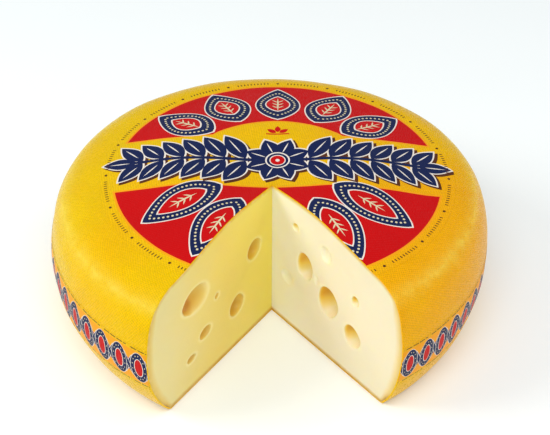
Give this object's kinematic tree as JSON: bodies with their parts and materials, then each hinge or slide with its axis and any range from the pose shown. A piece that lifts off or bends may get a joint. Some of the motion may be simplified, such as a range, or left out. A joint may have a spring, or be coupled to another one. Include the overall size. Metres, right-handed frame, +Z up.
{
  "type": "cheese wheel",
  "caption": "Low round wheel of yellow cheese with a wedge cut out, round eyes in the two cut faces, a thin wax coat, a printed film on top and a printed band round the side.",
  "frame": {"origin": "middle of the wheel's plan box, on the table it stands on", "axes": "+Z up out of the wheel's top; the missing wedge opens towards the corner between +X and -Y"},
  "size_m": [0.333, 0.3406, 0.1259],
  "materials": {
    "paste": "cut cheese, smooth and slightly moist",
    "wax": "yellow wax with a faint cloth weave",
    "label_film": "printed film, mostly red, satin",
    "band_film": "printed film, orange yellow, satin"
  },
  "bodies": {
    "root": {"cheese_paste": "paste", "wax_coat": "wax", "top_label": "label_film", "side_label": "band_film"}
  },
  "joints": []
}
